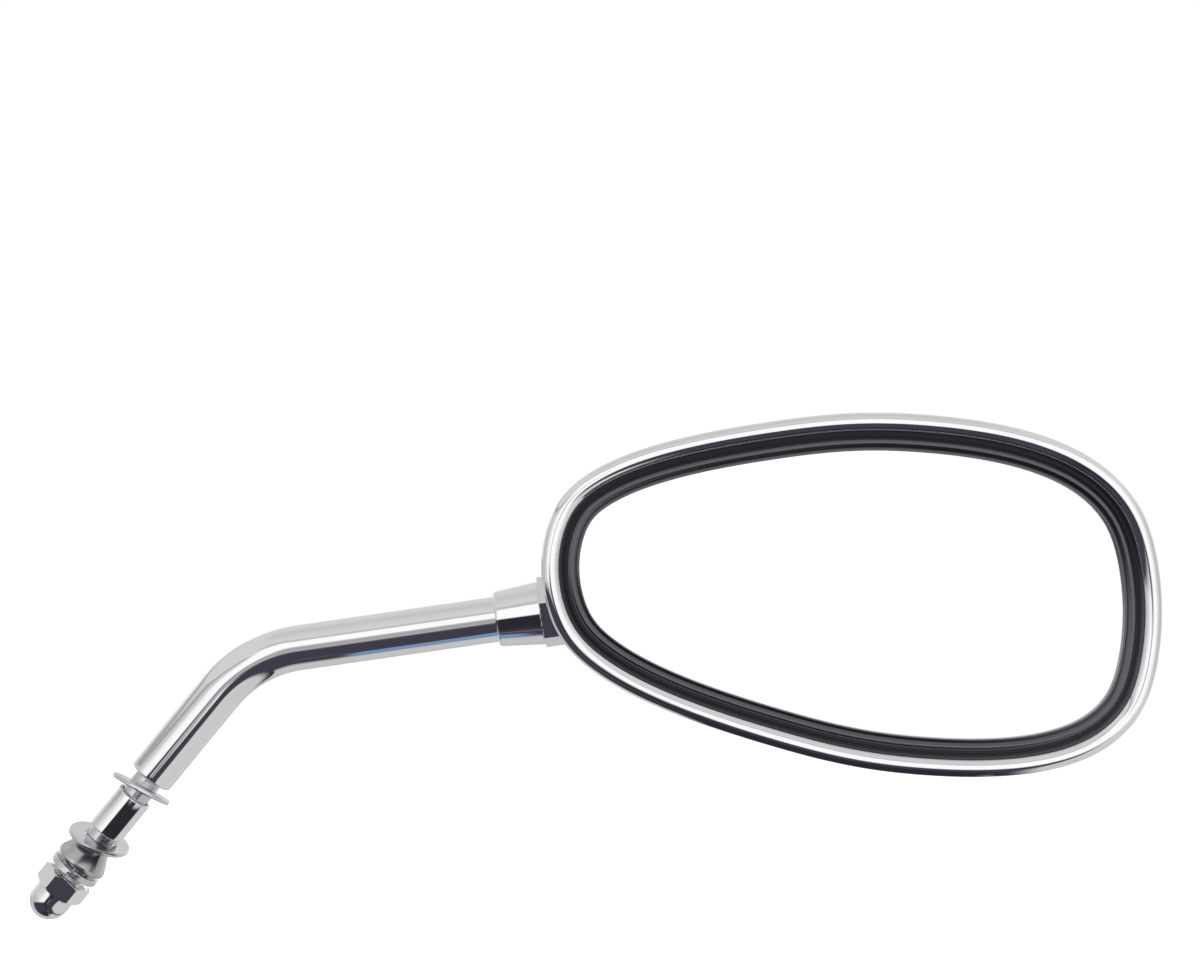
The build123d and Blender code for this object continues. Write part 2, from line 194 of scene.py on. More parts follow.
# Gasket: its width, its height by the lip, and the turns of its section as (in from the lip, ahead)
GASKET_WIDTH = 5.2
GASKET_START = 22.45
GASKET_GROOVE = (1.4, 21.2)
GASKET_CREST = (3.1, 22.8)
GASKET_CREASE = (4.25, 22.25)
GASKET_EDGE = (4.95, 22.65)
GASKET_EDGE_ROUND = 0.12
GASKET_SEAT_ROUND = 0.05
GASKET_BACK_ROUND = 0.1

# Clearance between pieces, and the rounds on edges of bores and on hidden edges
CLEARANCE = 0.05
BORE_EDGE = 0.15
FINE_EDGE = 0.1

# Fineness of the meshes: points around, rows along, steps on waves and rounds, shares along the gasket's
# slope, and spacing on hexagons
AROUND = 128
STUD_COLUMNS = 64
SPLIT_COLUMNS = 96
KNUCKLE_COLUMNS = 160
HEAD_COLUMNS = 400
OUTLINE_POINTS = 28
FINE_POINTS = 8000
LOWER_ROWS = 14
BEND_ROWS = 48
UPPER_ROWS = 20
THREAD_ROWS = 8
NUT_DOME_ROWS = 20
BOSS_ROWS = 24
ARM_ROWS = 24
SEAT_ROWS = 96
BALL_ROWS = 16
FOOT_ROWS = 8
DOME_ROWS = 84
ROLL_ROWS = 16
INNER_BALL_ROWS = 6
WAVE_STEPS = 10
ROUND_STEPS = 5
STEM_ROUND_STEPS = 8
HEX_ROUND_STEPS = 6
SPLIT_ROUND_STEPS = 4
LIP_ROUND_STEPS = 14
SLOPE_SHARES = (0, 0.1, 0.5, 0.9)
HEX_SPACING = 0.6
# How often a range is halved to find a place in it
HALVINGS = 40
# Closed sections start this far along their bores, and caps leave a small ring in their middles
COLLAR_BORE_START = 0.5
SLEEVE_BORE_START = 3.0
CONE_BORE_START = 2.0
CAP_RADIUS = 0.5
ARM_CAP_RADIUS = 1.0
SEAT_POLE = 0.02
GLASS_RING = 6.0
# The ball's foot on the dome is looked for between these angles from the ball's axis. The dome's rows are
# packed towards the rim, and its inner skin follows every few rows of the outer one, starting near the rim.
FOOT_SEARCH = (radians(50), radians(100))
DOME_PACKING = 2.2
INNER_START = 4
INNER_STRIDE = 8
INNER_SHRINK = 0.975
INNER_BALL_ANGLE = radians(80)
# Edges that turn by more than these angles are shaded sharp
SHARP = radians(35)
NUT_SHARP = radians(25)
KNUCKLE_SHARP = radians(30)
HOUSING_SHARP = radians(50)
GASKET_SHARP = radians(60)

# Places and directions that several pieces share
stem_foot = np.zeros(3)
lower_way = np.array([cos(LOWER_ANGLE), 0, sin(LOWER_ANGLE)])
lower_side = np.array([-sin(LOWER_ANGLE), 0, cos(LOWER_ANGLE)])
upper_way = np.array([cos(UPPER_ANGLE), 0, sin(UPPER_ANGLE)])
upper_side = np.array([-sin(UPPER_ANGLE), 0, cos(UPPER_ANGLE)])
toward_camera = np.array([0, -1.0, 0])
stud_way = -lower_way
corner = lower_way * LOWER_RUN
collar_start = corner + upper_way * UPPER_RUN
nut_start = collar_start + upper_way * COLLAR_LENGTH
arm_start = nut_start + upper_way * (LOCK_NUT_HEIGHT + CLEARANCE)
spigot_bore = SPIGOT_DIA / 2 + CLEARANCE
nut_at = STUD_REACH - NUT_ENGAGEMENT
lock_washer_at = nut_at - LOCK_WASHER_BACK
cone_at = nut_at - CONE_BACK
lower_washer_at = nut_at - LOWER_WASHER_BACK
sleeve_end = lower_washer_at - SLEEVE_GAP
glass_back = GLASS_AHEAD - GLASS_THICKNESS
glass_inset = LIP_WIDTH + GASKET_WIDTH - GLASS_HOLD
boss_point = nut_start + upper_way * BOSS_DISTANCE
square_way = toward_camera * cos(KNUCKLE_TURN) + upper_side * sin(KNUCKLE_TURN)
boss_way = upper_way * sin(BOSS_LEAN) + square_way * cos(BOSS_LEAN)
ball_centre = boss_point + boss_way * BALL_OFFSET
ball_up = -boss_way
seat_radius = BALL_DIA / 2 + CLEARANCE
head_middle = np.array([ball_centre[0] - HEAD_INBOARD + HEAD_HALF_LENGTH, ball_centre[2] + HEAD_RISE])
crown = np.array([ball_centre[0] + CROWN_OUTBOARD, ball_centre[2] + CROWN_RISE])


# Mesh helpers

def unit(vectors):
    return vectors / np.linalg.norm(vectors, axis=-1, keepdims=True)


def rounded(corners, steps=ROUND_STEPS):
    """Points of a profile whose corners are given as (along, out, round)."""
    points = []
    for i, (along, out, radius) in enumerate(corners):
        here = np.array([along, out])
        if radius <= 0 or i in (0, len(corners) - 1):
            points.append(here)
            continue
        before = unit(np.array(corners[i - 1][:2]) - here)
        after = unit(np.array(corners[i + 1][:2]) - here)
        half = np.arccos(np.clip(before @ after, -1, 1)) / 2
        middle = here + unit(before + after) * radius / sin(half)
        start = here + before * radius / tan(half)
        end = here + after * radius / tan(half)
        first = atan2(*(start - middle)[::-1])
        turn = (atan2(*(end - middle)[::-1]) - first + pi) % (2 * pi) - pi
        for angle in first + turn * np.arange(steps + 1) / steps:
            points.append(middle + radius * np.array([cos(angle), sin(angle)]))
    return points


def across(way):
    """Two directions across a given one, the first as near to the camera as can be."""
    first = unit(toward_camera - way * (toward_camera @ way))
    return first, np.cross(way, first)


def full_turn(columns):
    return 2 * pi * np.arange(columns) / columns


def spin(rows, turns, origin, way):
    """Points of rows of (along, out) turned about a line. Both may differ from angle to angle."""
    first, second = across(way)
    ring = np.cos(turns)[:, None] * first + np.sin(turns)[:, None] * second
    points = []
    for row in rows:
        along, out = [np.broadcast_to(value, len(turns))[:, None] for value in row]
        points.append(origin + way * along + ring * out)
    return np.concatenate(points)


def grid_quads(rows, columns, close_rows=False, close_columns=True):
    """Quads of a grid, whose columns as a rule go all the way round."""
    quads = []
    for r in range(rows if close_rows else rows - 1):
        below = r * columns
        above = (r + 1) % rows * columns
        for c in range(columns if close_columns else columns - 1):
            n = (c + 1) % columns
            quads.append((below + c, below + n, above + n, above + c))
    return quads


def capped_quads(rows, columns):
    """Faces of a grid that goes all the way round and is filled at both ends."""
    last = (rows - 1) * columns
    return grid_quads(rows, columns) + [tuple(range(columns)), tuple(range(last, last + columns))]


def lathe(profile, origin, way, columns=AROUND, closed=False):
    """Points and faces of a profile of (along, out) turned about a line; an open profile is capped."""
    points = spin(profile, full_turn(columns), origin, way)
    if closed:
        return points, grid_quads(len(profile), columns, True)
    return points, capped_quads(len(profile), columns)


def add_object(name, data):
    item = bpy.data.objects.new(name, data)
    bpy.context.scene.collection.objects.link(item)
    return item


def even_shading(piece):
    """Shades flat faces flat next to their rounded edges."""
    piece.modifiers.new("even_shading", "WEIGHTED_NORMAL").keep_sharp = True


def add_piece(name, points, faces, material, body, nodes, sharp=SHARP, flats=True):
    """A mesh piece in millimetres that rides on a body and stands for CAD nodes."""
    mesh = bpy.data.meshes.new(name)
    mesh.from_pydata((np.asarray(points) * MM).tolist(), [], faces)
    bm = bmesh.new()
    bm.from_mesh(mesh)
    bmesh.ops.recalc_face_normals(bm, faces=bm.faces)
    bm.to_mesh(mesh)
    bm.free()
    mesh.shade_smooth()
    mesh.set_sharp_from_angle(angle=sharp)
    mesh.materials.append(material)
    piece = add_object(name, mesh)
    if flats:
        even_shading(piece)
    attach(piece, body)
    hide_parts(*nodes)
    return piece


# Node helpers

def new_material(name):
    material = bpy.data.materials.new(name)
    material.use_nodes = True
    return material, material.node_tree


def fill(node, values):
    """Sets a node's inputs by name."""
    for name, value in values.items():
        node.inputs[name].default_value = value


def math_node(tree, operation, *values):
    node = tree.nodes.new("ShaderNodeMath")
    node.operation = operation
    for socket, value in zip(node.inputs, values):
        if isinstance(value, (int, float)):
            socket.default_value = value
        else:
            tree.links.new(value, socket)
    return node.outputs[0]


def map_range(tree, value, start, end, low=0.0, high=1.0, kind="LINEAR"):
    node = tree.nodes.new("ShaderNodeMapRange")
    node.interpolation_type = kind
    fill(node, {"From Min": start, "From Max": end, "To Min": low, "To Max": high})
    tree.links.new(value, node.inputs["Value"])
    return node.outputs["Result"]


def soft_step(tree, value, start, end):
    return map_range(tree, value, start, end, kind="SMOOTHSTEP")


def colour_ramp(tree, value, stops):
    """Colours by value, from stops of (position, colour or grey)."""
    ramp = tree.nodes.new("ShaderNodeValToRGB")
    elements = ramp.color_ramp.elements
    while len(elements) < len(stops):
        elements.new(0.5)
    for element, (position, colour) in zip(elements, stops):
        element.position = position
        element.color = (*colour, 1) if isinstance(colour, tuple) else (colour, colour, colour, 1)
    tree.links.new(value, ramp.inputs["Fac"])
    return ramp.outputs["Color"]


def blend_colour(tree, share, first, second, kind="MIX"):
    node = tree.nodes.new("ShaderNodeMix")
    node.data_type = "RGBA"
    node.blend_type = kind
    for name, value in (("Factor", share), ("A", first), ("B", second)):
        if isinstance(value, (float, tuple)):
            node.inputs[name].default_value = value
        else:
            tree.links.new(value, node.inputs[name])
    return node.outputs["Result"]


def noise(tree, scale, detail):
    """Noise over the object's own coordinates, in metres."""
    place = tree.nodes.new("ShaderNodeTexCoord")
    texture = tree.nodes.new("ShaderNodeTexNoise")
    fill(texture, {"Scale": scale, "Detail": detail})
    tree.links.new(place.outputs["Object"], texture.inputs["Vector"])
    return texture.outputs["Fac"]


def bump(tree, shader, height, strength, distance):
    node = tree.nodes.new("ShaderNodeBump")
    fill(node, {"Strength": strength, "Distance": distance})
    tree.links.new(height, node.inputs["Height"])
    tree.links.new(node.outputs["Normal"], shader.inputs["Normal"])


# Materials

COAT_IOR = 1.9
PATCH_DETAIL = 3.0
GRAIN_DETAIL = 6.0
# Most of the noise lies between these values
NOISE_LOW = 0.3
NOISE_HIGH = 0.7


def surface(name, dark, light, rough, metallic, patches, grain, depth, gloss=0.5, coat=0.0, glint=(1, 1, 1)):
    """A material with patchy colour and gloss, and a fine grain with a depth of (strength, distance)."""
    material, tree = new_material(name)
    shader = tree.nodes["Principled BSDF"]
    fill(shader, {
        "Base Color": (*light, 1),
        "Roughness": rough[0],
        "Metallic": metallic,
        "Specular IOR Level": gloss,
        "Specular Tint": (*glint, 1),
        "Coat Weight": coat,
        "Coat Roughness": rough[1],
        "Coat IOR": COAT_IOR,
    })
    patch = noise(tree, patches, PATCH_DETAIL)
    tint = colour_ramp(tree, patch, [(NOISE_LOW, dark), (NOISE_HIGH, light)])
    tree.links.new(tint, shader.inputs["Base Color"])
    tree.links.new(map_range(tree, patch, NOISE_LOW, NOISE_HIGH, *rough), shader.inputs["Roughness"])
    bump(tree, shader, noise(tree, grain, GRAIN_DETAIL), *depth)
    return material


chrome = surface(
    "chrome", dark=(0.92, 0.925, 0.935), light=(0.95, 0.95, 0.955), rough=(0.015, 0.045), metallic=1.0,
    patches=60, grain=900, depth=(0.02, 0.00002))
turned = surface(
    "turned_chrome", dark=(0.52, 0.52, 0.53), light=(0.62, 0.62, 0.63), rough=(0.16, 0.24), metallic=1.0,
    patches=200, grain=2500, depth=(0.04, 0.00002))
zinc = surface(
    "zinc_plate", dark=(0.71, 0.72, 0.735), light=(0.80, 0.80, 0.815), rough=(0.2, 0.28), metallic=1.0,
    patches=170, grain=3500, depth=(0.03, 0.00002))
steel = surface(
    "bare_steel", dark=(0.36, 0.36, 0.37), light=(0.48, 0.48, 0.48), rough=(0.28, 0.42), metallic=1.0,
    patches=300, grain=3000, depth=(0.15, 0.00004))
nylon = surface(
    "nylon", dark=(0.74, 0.73, 0.69), light=(0.82, 0.81, 0.77), rough=(0.38, 0.5), metallic=0.0,
    patches=200, grain=2500, depth=(0.1, 0.00004))
rubber = surface(
    "gasket_rubber", dark=(0.003, 0.003, 0.006), light=(0.005, 0.005, 0.01), rough=(0.2, 0.28), metallic=0.0,
    patches=140, grain=2600, depth=(0.06, 0.00003), gloss=1.0, coat=0.8, glint=(0.8, 0.82, 1.0))
mirror = surface(
    "mirror_glass", dark=(0.975, 0.98, 0.98), light=(0.985, 0.99, 0.99), rough=(0.0, 0.01), metallic=1.0,
    patches=25, grain=40, depth=(0.004, 0.00001))


# Stem: a round rod with two straight runs and a bend

def stem_stations():
    """Centres and headings along the rod, from its lower end to its seat in the collar."""
    bend = LOWER_ANGLE - UPPER_ANGLE
    cut = BEND_RADIUS * tan(bend / 2)
    lower_end = lower_way * (LOWER_RUN - cut)
    centre = lower_end - lower_side * BEND_RADIUS
    stations = []
    for share in np.linspace(0, 1, LOWER_ROWS):
        stations.append((lower_end * share, LOWER_ANGLE))
    for share in np.linspace(0, 1, BEND_ROWS)[1:]:
        heading = LOWER_ANGLE - bend * share
        outward = np.array([-sin(heading), 0, cos(heading)])
        stations.append((centre + outward * BEND_RADIUS, heading))
    upper_start = corner + upper_way * cut
    length = UPPER_RUN - cut + COLLAR_SEAT
    for share in np.linspace(0, 1, UPPER_ROWS)[1:]:
        stations.append((upper_start + upper_way * length * share, UPPER_ANGLE))
    return stations


def make_stem():
    turns = full_turn(AROUND)
    radius = STEM_DIA / 2
    stations = stem_stations()
    face = rounded([
        (0, STUD_DIA / 2, 0),
        (0, radius, STEM_EDGE),
        (2 * STEM_EDGE, radius, 0),
    ], STEM_ROUND_STEPS)
    rings = [spin(face, turns, stem_foot, lower_way)]
    for centre, heading in stations[1:]:
        rings.append(spin([(0, radius)], turns, centre, np.array([cos(heading), 0, sin(heading)])))
    seat = stations[-1][0]
    spigot = np.linalg.norm(arm_start - seat) + SPIGOT_ENGAGEMENT
    rings.append(spin([(0, SPIGOT_DIA / 2), (spigot, SPIGOT_DIA / 2)], turns, seat, upper_way))
    points = np.concatenate(rings)
    faces = capped_quads(len(points) // AROUND, AROUND)
    add_piece("stem_rod", points, faces, chrome, "stem", ["stem"])


def make_collar():
    bore = STEM_DIA / 2 + CLEARANCE
    seat = COLLAR_SEAT + CLEARANCE
    profile = rounded([
        (COLLAR_BORE_START, bore, 0),
        (0, bore, BORE_EDGE),
        (0, COLLAR_SMALL_DIA / 2, COLLAR_EDGE),
        (COLLAR_LENGTH, COLLAR_LARGE_DIA / 2, COLLAR_END_EDGE),
        (COLLAR_LENGTH, spigot_bore, FINE_EDGE),
        (seat, spigot_bore, FINE_EDGE),
        (seat, bore, 0),
    ])
    points, faces = lathe(profile, collar_start, upper_way, closed=True)
    add_piece("stem_collar", points, faces, chrome, "stem", ["collar"])


# Hex nuts: an outline with small rounds on its corners, cut by cones at its ends

def hex_outline(flats, turn):
    """Angles and reaches of points on a hexagon with a flat turned from the camera."""
    reach = flats / 2 / cos(pi / 6)
    # Six corners, and one more at each end that only gives a direction
    angles = [turn + pi / 3 * (k + 0.5) for k in range(8)]
    corners = [(reach * cos(a), reach * sin(a), HEX_CORNER_ROUND) for a in angles]
    corners = rounded(corners, HEX_ROUND_STEPS)[1:-1]
    points = []
    for here, ahead in zip(corners, corners[1:] + corners[:1]):
        steps = max(1, int(np.linalg.norm(ahead - here) / HEX_SPACING))
        points += [here + (ahead - here) * k / steps for k in range(steps)]
    x, y = np.array(points).T
    return np.arctan2(y, x), np.hypot(x, y)


def hex_rows(flats, height, bore, start_cone, turn, top):
    """Angles round a hex nut, and its rows of (along, out) from its bore to a last radius at its end."""
    angles, reach = hex_outline(flats, turn)
    cone = (reach - flats / 2) * HEX_CONE_SLOPE
    edge = flats / 2 - HEX_FACE_INSET
    rows = [(HEX_BORE_EDGE, bore), (0, bore + HEX_BORE_EDGE)]
    if start_cone:
        rows += [(0, edge), (HEX_CONE_RISE + cone, reach - HEX_CONE_INSET), (HEX_CONE_END + cone, reach)]
    else:
        rows += [(0, reach - HEX_PLAIN_EDGE), (HEX_PLAIN_EDGE, reach)]
    rows += [
        (height - HEX_CONE_END - cone, reach),
        (height - HEX_CONE_RISE - cone, reach - HEX_CONE_INSET),
        (height, edge),
        (height, top),
    ]
    return angles, rows


def make_lock_nut():
    turns, rows = hex_rows(LOCK_NUT_FLATS, LOCK_NUT_HEIGHT, spigot_bore, False, LOCK_NUT_TURN, spigot_bore)
    points = spin(rows, turns, nut_start, upper_way)
    faces = grid_quads(len(rows), len(turns), True)
    add_piece("hex_lock_nut", points, faces, chrome, "stem", ["lock_nut"], NUT_SHARP)


def make_acorn_nut():
    dome = NUT_DOME_DIA / 2
    bore = STUD_DIA / 2 + CLEARANCE
    neck = NUT_HEX_HEIGHT + NUT_SHOULDER
    dome_start = NUT_LENGTH - dome
    turns, rows = hex_rows(NUT_FLATS, NUT_HEX_HEIGHT, bore, True, NUT_TURN, dome + NUT_SHOULDER)
    rows.append((NUT_HEX_HEIGHT + NUT_FILLET_RISE, dome + NUT_FILLET_OUT))
    rows += [(along, dome) for along in (neck, (neck + dome_start) / 2, dome_start)]
    for angle in np.linspace(0, pi / 2, NUT_DOME_ROWS)[1:-1]:
        rows.append((dome_start + dome * sin(angle), dome * cos(angle)))
    points = spin(rows, turns, stud_way * nut_at, stud_way)
    faces = capped_quads(len(rows), len(turns))
    add_piece("domed_nut", points, faces, chrome, "stem", ["acorn_nut"], NUT_SHARP)


# Stud, washers, sleeve and cone

def make_stud():
    radius = STUD_DIA / 2
    turns = full_turn(STUD_COLUMNS)
    step = THREAD_PITCH / THREAD_ROWS
    count = ceil((STUD_REACH - THREAD_START) / step)
    end_start = STUD_REACH - THREAD_END_PITCHES * THREAD_PITCH
    rows = [
        (-STUD_IN_STEM, radius - STUD_EDGE),
        (-STUD_IN_STEM + STUD_EDGE, radius),
        (THREAD_START - THREAD_LEAD, radius),
    ]
    for along in THREAD_START + step * np.arange(count):
        phase = (along / THREAD_PITCH - turns / (2 * pi)) % 1
        cut = THREAD_DEPTH * np.clip(THREAD_STEEPNESS * np.abs(2 * phase - 1) - THREAD_LOWERING, 0, 1)
        fade = np.clip((along - THREAD_START) / THREAD_PITCH, 0, 1)
        end_cut = np.clip(along - end_start, 0, STUD_EDGE)
        rows.append((along, radius - np.maximum(cut * fade, end_cut)))
    points = spin(rows, turns, stem_foot, stud_way)
    faces = capped_quads(len(rows), STUD_COLUMNS)
    add_piece("threaded_stud", points, faces, zinc, "stem", ["mount_stud"])


def loose_way(lean, nod):
    """Axis of a loose washer that leans in the stem's plane and nods at the camera."""
    angle = LOWER_ANGLE + lean
    return np.array([-cos(angle) * cos(nod), sin(nod), -sin(angle) * cos(nod)])


def make_washer(name, node, at, lean, nod):
    half = WASHER_THICKNESS / 2
    profile = rounded([
        (0, WASHER_BORE / 2, 0),
        (-half, WASHER_BORE / 2, BORE_EDGE),
        (-half, WASHER_DIA / 2, WASHER_EDGE),
        (half, WASHER_DIA / 2, WASHER_EDGE),
        (half, WASHER_BORE / 2, BORE_EDGE),
        (0, WASHER_BORE / 2, 0),
    ])[:-1]
    points, faces = lathe(profile, stud_way * at, loose_way(lean, nod), closed=True)
    add_piece(name, points, faces, zinc, "stem", [node])


def make_sleeve():
    profile = rounded([
        (SLEEVE_AT + SLEEVE_BORE_START, LOOSE_BORE / 2, 0),
        (SLEEVE_AT, LOOSE_BORE / 2, BORE_EDGE),
        (SLEEVE_AT, SLEEVE_DIA / 2, SLEEVE_EDGE),
        (sleeve_end, SLEEVE_DIA / 2, SLEEVE_EDGE),
        (sleeve_end, LOOSE_BORE / 2, BORE_EDGE),
        (sleeve_end - SLEEVE_BORE_START, LOOSE_BORE / 2, 0),
    ])
    points, faces = lathe(profile, stem_foot, stud_way, closed=True)
    add_piece("stud_sleeve", points, faces, chrome, "stem", ["spacer_sleeve"])


def make_cone():
    end = cone_at + CONE_LENGTH
    profile = rounded([
        (cone_at + CONE_BORE_START, LOOSE_BORE / 2, 0),
        (cone_at, LOOSE_BORE / 2, FINE_EDGE),
        (cone_at, CONE_SMALL_DIA / 2, CONE_START_EDGE),
        (end - CONE_BAND, CONE_LARGE_DIA / 2, CONE_BAND_EDGE),
        (end, CONE_LARGE_DIA / 2, CONE_END_EDGE),
        (end, LOOSE_BORE / 2, BORE_EDGE),
        (end - CONE_BORE_START, LOOSE_BORE / 2, 0),
    ])
    points, faces = lathe(profile, stem_foot, stud_way, closed=True)
    add_piece("stud_cone", points, faces, turned, "stem", ["cone_spacer"])


def make_lock_washer():
    """A split ring whose slanted cut faces the camera."""
    inner, outer, thick = LOOSE_BORE / 2, LOCK_WASHER_DIA / 2, LOCK_WASHER_THICKNESS
    middle = (inner + outer) / 2
    profile = rounded([
        (thick / 2, inner, 0),
        (0, inner, LOCK_WASHER_INNER_EDGE),
        (0, outer, LOCK_WASHER_OUTER_EDGE),
        (thick, outer, LOCK_WASHER_OUTER_EDGE),
        (thick, inner, LOCK_WASHER_INNER_EDGE),
        (thick / 2, inner, 0),
    ], SPLIT_ROUND_STEPS)[:-1]
    rise = LOCK_WASHER_RISE * np.linspace(0.5, -0.5, SPLIT_COLUMNS)
    rows = []
    for along, out in profile:
        slant = (along - thick / 2) * tan(LOCK_WASHER_SLANT) / middle
        start = LOCK_WASHER_GAP / 2 / middle + slant
        turns = np.linspace(start, start + 2 * pi - LOCK_WASHER_GAP / middle, SPLIT_COLUMNS)
        rows.append(spin([(lock_washer_at + along + rise, out)], turns, stem_foot, stud_way))
    points = np.concatenate(rows)
    faces = grid_quads(len(rows), SPLIT_COLUMNS, True, False)
    faces += [tuple(range(end, len(points), SPLIT_COLUMNS)) for end in (0, SPLIT_COLUMNS - 1)]
    add_piece("split_washer", points, faces, zinc, "stem", ["lock_washer"])


# Knuckle: the arm and the bell-shaped boss, joined, less the ball's seat

def bell_profile():
    """Boss profile of (along, out) from the ball's centre, from its top disc down to its base."""
    base_radius = BOSS_BASE_DIA / 2
    base = (seat_radius**2 - base_radius**2) ** 0.5
    low = np.array([base + BOSS_BASE_BAND, base_radius])
    high = np.array([BALL_OFFSET + ARM_DIA / 2, BOSS_TOP_DIA / 2])
    chord = high - low
    inward = unit(np.array([chord[1], -chord[0]]))
    flare = []
    for share in np.linspace(0, 1, BOSS_ROWS)[2:-1]:
        sag = 4 * BOSS_FLARE_SLACK * share * (1 - share)
        flare.append((*(high - chord * share + inward * sag), 0))
    return rounded([
        (high[0], CAP_RADIUS, 0),
        (*high, BOSS_TOP_EDGE),
        *flare,
        (*low, BORE_EDGE),
        (base, base_radius, BOSS_BASE_EDGE),
        (base, CAP_RADIUS, 0),
    ])


def arm_profile():
    """Arm profile of (along, out) from the bottom of its bore, over its outside, to its far end."""
    length = np.linalg.norm(boss_point - arm_start)
    radius = ARM_DIA / 2
    bore_end = SPIGOT_ENGAGEMENT + CLEARANCE
    outside = np.linspace(ARM_EDGE, length - ARM_EDGE, ARM_ROWS)[1:-1]
    return rounded([
        (bore_end, CAP_RADIUS, 0),
        (bore_end, spigot_bore, 0),
        (0, spigot_bore, 0),
        (0, radius, ARM_EDGE),
        *[(along, radius, 0) for along in outside],
        (length, radius, ARM_EDGE),
        (length, ARM_CAP_RADIUS, 0),
    ])


def make_knuckle():
    points, faces = lathe(arm_profile(), arm_start, upper_way)
    arm = add_piece("arm_half", points, faces, chrome, "knuckle", [])
    points, faces = lathe(bell_profile(), ball_centre, ball_up, KNUCKLE_COLUMNS)
    bell = add_piece("knuckle_casting", points, faces, chrome, "knuckle", ["knuckle"], flats=False)
    polar = np.linspace(SEAT_POLE, pi - SEAT_POLE, SEAT_ROWS)
    ball = seat_radius * np.stack([np.cos(polar), np.sin(polar)], -1)
    points, faces = lathe(ball, ball_centre, ball_up, KNUCKLE_COLUMNS)
    cutter = add_piece("seat_cutter", points, faces, chrome, "knuckle", [])
    for other, operation in ((arm, "UNION"), (cutter, "DIFFERENCE")):
        change = bell.modifiers.new(other.name, "BOOLEAN")
        change.operation = operation
        change.solver = "EXACT"
        change.object = other
    bpy.context.view_layer.update()
    joined = bpy.data.meshes.new_from_object(bell.evaluated_get(bpy.context.evaluated_depsgraph_get()))
    bell.modifiers.clear()
    bell.data = joined
    joined.shade_smooth()
    joined.set_sharp_from_angle(angle=KNUCKLE_SHARP)
    even_shading(bell)
    bpy.data.objects.remove(arm)
    bpy.data.objects.remove(cutter)


# Head outline, dome and lip

def signed_power(value, power):
    return np.sign(value) * np.abs(value) ** power


def egg(turn):
    """Outline of the head in X and Z from its middle: a superellipse, taller and lower outboard."""
    along = signed_power(np.cos(turn), 2 / END_ROUNDNESS)
    up = signed_power(np.sin(turn), 2 / SIDE_ROUNDNESS)
    height = HEAD_HALF_HEIGHT * up * (1 + OUTBOARD_GROWTH * along + END_GROWTH * along**2)
    return np.stack([HEAD_HALF_LENGTH * along, height - DROOP * HEAD_HALF_LENGTH * along], -1)


def smooth_loop(points, count):
    """Points on the closed cubic spline through some points, by chord length."""
    ahead = np.roll(points, -1, axis=0) - points
    chord = np.linalg.norm(ahead, axis=1)
    before = np.roll(chord, 1)
    size = len(points)
    matrix = np.zeros((size, size))
    index = np.arange(size)
    matrix[index, index] = 2 * (before + chord)
    matrix[index, index - 1] = before
    matrix[index, (index + 1) % size] = chord
    slope = ahead / chord[:, None]
    bend = np.linalg.solve(matrix, 6 * (slope - np.roll(slope, 1, axis=0)))
    place = np.linspace(0, chord.sum(), count, endpoint=False)
    start = np.concatenate([[0], np.cumsum(chord)[:-1]])
    span = np.searchsorted(start, place, side="right") - 1
    after = (span + 1) % size
    reach = chord[span][:, None]
    done = (place - start[span])[:, None]
    left = reach - done
    curve = (bend[span] * left**3 + bend[after] * done**3) / (6 * reach)
    return (curve + (points[span] / reach - bend[span] * reach / 6) * left
            + (points[after] / reach - bend[after] * reach / 6) * done)


def even_outline(fine):
    """Outline points, evenly spaced along the rim, and their inward directions."""
    closed = np.concatenate([fine, fine[:1]])
    length = np.concatenate([[0], np.cumsum(np.linalg.norm(np.diff(closed, axis=0), axis=1))])
    step = length[-1] / HEAD_COLUMNS
    wanted = step * np.arange(HEAD_COLUMNS)

    def at(places):
        return np.stack([np.interp(places % length[-1], length, closed[:, i]) for i in range(2)], -1)

    run = at(wanted + step / 2) - at(wanted - step / 2)
    return at(wanted) + head_middle, unit(np.stack([-run[:, 1], run[:, 0]], -1))


outline_turns = 2 * pi * (np.arange(OUTLINE_POINTS) + 0.5) / OUTLINE_POINTS - pi
fine_egg = smooth_loop(egg(outline_turns), FINE_POINTS)
egg_angles = np.unwrap(np.arctan2(fine_egg[:, 1], fine_egg[:, 0]))
egg_reach = np.linalg.norm(fine_egg, axis=1)
rim, rim_inward = even_outline(fine_egg)


def in_space(flat, depth):
    """Points in space from points in X and Z and their Y."""
    return np.stack([flat[:, 0], np.broadcast_to(depth, len(flat)), flat[:, 1]], -1)


def rim_ring(inset, ahead):
    """Ring of the head's outline, moved inwards, at a distance ahead of the ball's centre."""
    return in_space(rim + rim_inward * inset, ball_centre[1] - ahead)


def dome_height(flat):
    """Y of the dome's outer face above points in X and Z, from the section that passes through each."""
    low = np.zeros(len(flat))
    high = np.ones(len(flat))
    for _ in range(HALVINGS):
        scale = (low + high) / 2
        middle = crown + (head_middle - crown) * scale[:, None] ** 2
        offset = flat - middle
        angle = np.arctan2(offset[:, 1], offset[:, 0])
        reach = np.interp(angle, egg_angles, egg_reach, period=2 * pi)
        outside = np.linalg.norm(offset, axis=1) > scale * reach
        low = np.where(outside, scale, low)
        high = np.where(outside, high, scale)
    rise = np.clip(1 - ((low + high) / 2) ** 2, 0, 1) ** (DOME_POWER / 2)
    return ball_centre[1] - (RIM_AHEAD - LIP_DEPTH) + DOME_DEPTH * rise


def on_dome(flat):
    return in_space(flat, dome_height(flat))


def ball_row(out, polar, radius):
    """Ring of the ball at an angle from its axis, one point in each column's direction."""
    polar = np.broadcast_to(polar, len(out))[:, None]
    return ball_centre + radius * (np.sin(polar) * out + np.cos(polar) * ball_up)


